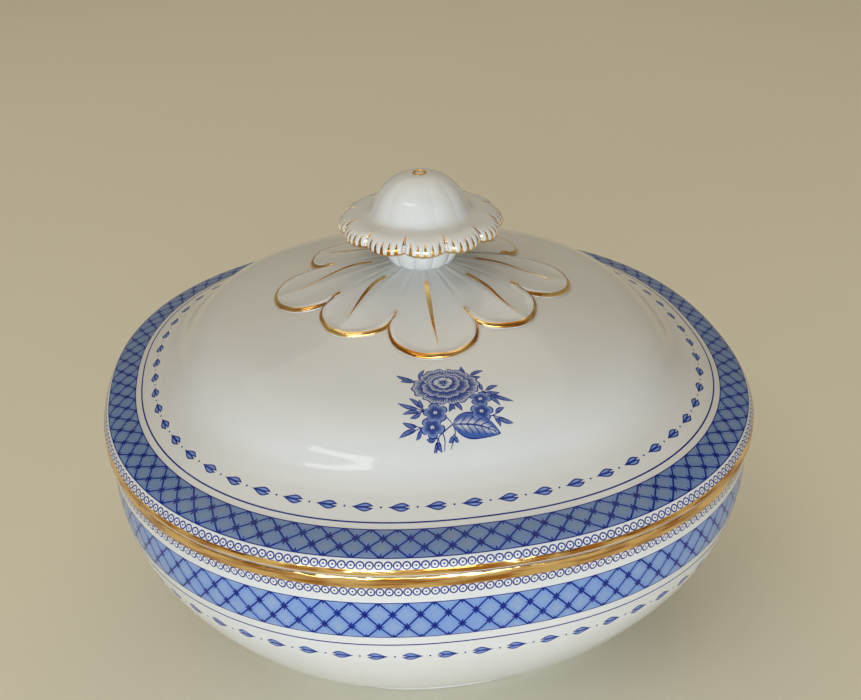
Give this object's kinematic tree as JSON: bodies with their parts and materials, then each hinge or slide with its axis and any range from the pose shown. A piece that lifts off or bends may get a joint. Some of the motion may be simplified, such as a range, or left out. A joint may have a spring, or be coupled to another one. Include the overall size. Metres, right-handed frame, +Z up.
{
  "type": "soup tureen",
  "caption": "Soft-square porcelain soup tureen on a low foot ring, with gilded rims, printed blue borders and a lift-off domed lid with a rosette and a flower finial.",
  "frame": {"origin": "centre of the foot ring, on the surface it stands on", "axes": "+Z up through the finial; +X and +Y across the soft-square plan's flat sides; the front, with the flower spray, faces -Y"},
  "size_m": [0.28, 0.28, 0.2],
  "materials": {
    "porcelain": "gloss",
    "gilding": "polished"
  },
  "bodies": {
    "bowl_body": {"bowl": "porcelain", "foot_ring": "porcelain", "bowl_rim_gilding": "gilding"},
    "lid_body": {"lid": "porcelain", "lid_flange": "porcelain", "lid_rim_gilding": "gilding", "finial_neck": "porcelain", "finial_brim": "porcelain", "finial_crown": "porcelain", "finial_eye": "gilding", "petal_1": "porcelain", "petal_2": "porcelain", "petal_3": "porcelain", "petal_4": "porcelain", "petal_5": "porcelain", "petal_6": "porcelain", "petal_7": "porcelain", "petal_8": "porcelain"}
  },
  "joints": [
    {"name": "lid_lift", "type": "slide", "parent": "bowl_body", "child": "lid_body", "axis": [0, 0, 1], "range_m": [0, 0.12]}
  ]
}
